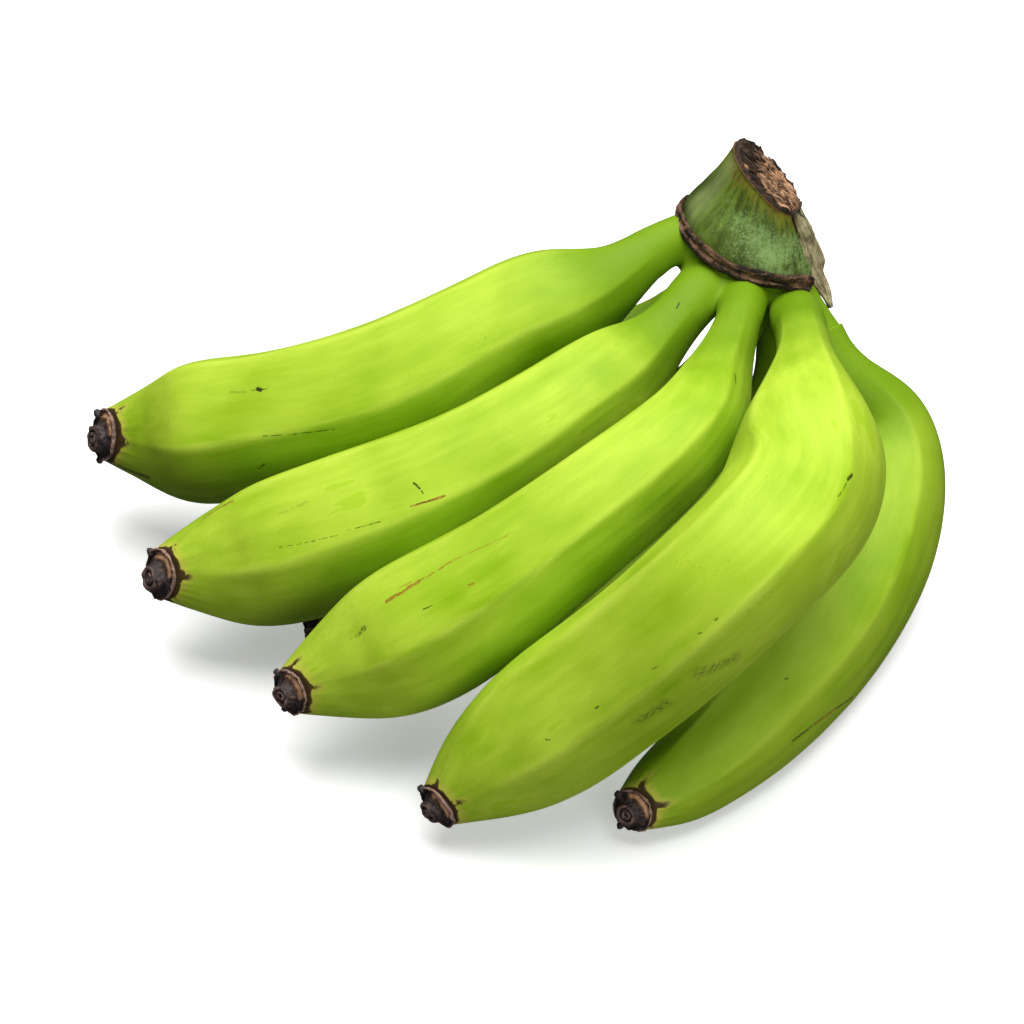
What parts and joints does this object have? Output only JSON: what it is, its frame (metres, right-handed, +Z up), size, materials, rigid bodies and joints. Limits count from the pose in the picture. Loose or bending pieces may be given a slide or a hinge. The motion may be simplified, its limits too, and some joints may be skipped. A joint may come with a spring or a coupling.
{
  "type": "hand of green plantains",
  "caption": "Hand of unripe green plantains: long curved ridged fruits grown in an outer and an inner row from a cut crown, lying palm down, with dried blossom ends.",
  "frame": {"origin": "middle of the bounding box's underside, on the flat surface that the hand lies on", "axes": "+Z up from the surface, with the crown raised; +X along the hand's longest extent, from the first outer finger's tip towards the fifth finger's side; -Y towards the tips of the fourth and fifth fingers"},
  "size_m": [0.2933, 0.221, 0.1347],
  "materials": {
    "green_skin": "smooth waxy green peel, satin, with soft ridges, fine streaks and a few brown scars",
    "crown": "dull dark green with whitish bloom, and a dry brown fibrous cut",
    "dried_blossom": "dry, wrinkled, brown to black"
  },
  "bodies": {
    "root": {"crown": "crown", "finger_outer_1": "green_skin", "finger_outer_2": "green_skin", "finger_outer_3": "green_skin", "finger_outer_4": "green_skin", "finger_outer_5": "green_skin", "finger_inner_1": "green_skin", "finger_inner_2": "green_skin", "finger_inner_3": "green_skin", "blossom_end_outer_1": "dried_blossom", "blossom_end_outer_2": "dried_blossom", "blossom_end_outer_3": "dried_blossom", "blossom_end_outer_4": "dried_blossom", "blossom_end_outer_5": "dried_blossom", "blossom_end_inner_1": "dried_blossom", "blossom_end_inner_2": "dried_blossom", "blossom_end_inner_3": "dried_blossom"}
  },
  "joints": []
}
